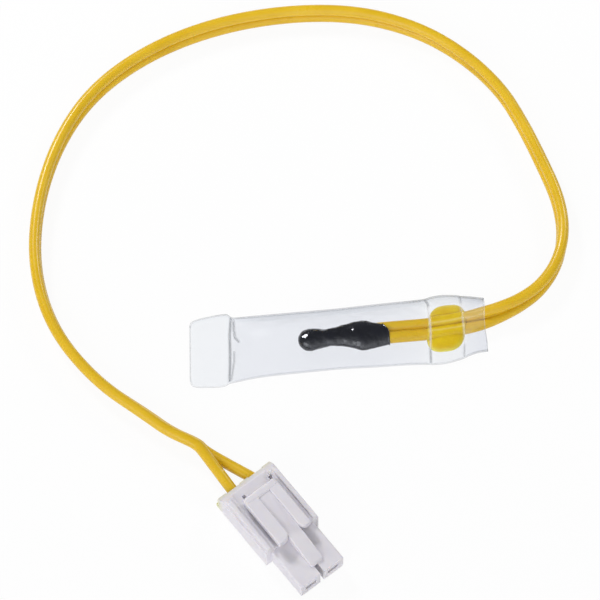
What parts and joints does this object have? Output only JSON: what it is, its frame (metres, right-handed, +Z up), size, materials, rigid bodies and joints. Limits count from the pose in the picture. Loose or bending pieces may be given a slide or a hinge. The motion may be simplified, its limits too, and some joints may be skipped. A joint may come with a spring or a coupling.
{
  "type": "freezer temperature sensor",
  "caption": "Dipped thermistor heat sealed in a clear sleeve, on a bonded yellow twin lead that loops round to a white latching plug.",
  "frame": {"origin": "centre of the sleeve's flat underside, which rests on the floor plane", "axes": "+X along the sleeve from its sealed tab to its mouth, +Z up from the floor; the lead's loop lies on the +Y side and the plug on the -Y side"},
  "size_m": [0.1207, 0.1422, 0.0095],
  "materials": {
    "clear_film": "clear soft film",
    "seal_compound": "glossy, slightly translucent at the rim",
    "black_epoxy": "glossy dip coat",
    "ceramic": "matt",
    "tinned_wire": "bright",
    "solder": "satin",
    "copper_strands": "stranded",
    "yellow_insulation": "semi gloss extruded plastic",
    "tinned_contact": "satin",
    "white_nylon": "semi gloss moulded"
  },
  "bodies": {
    "root": {"sleeve": "clear_film", "seal_bead": "seal_compound", "epoxy_body": "black_epoxy", "thermistor_bead": "ceramic", "bead_lead_a": "tinned_wire", "bead_lead_b": "tinned_wire", "solder_joint_a": "solder", "solder_joint_b": "solder", "strand_tip_a": "copper_strands", "strand_tip_b": "copper_strands", "wire_a": "yellow_insulation", "wire_b": "yellow_insulation", "strand_end_a": "copper_strands", "strand_end_b": "copper_strands", "contact_a": "tinned_contact", "contact_b": "tinned_contact", "housing": "white_nylon"}
  },
  "joints": []
}
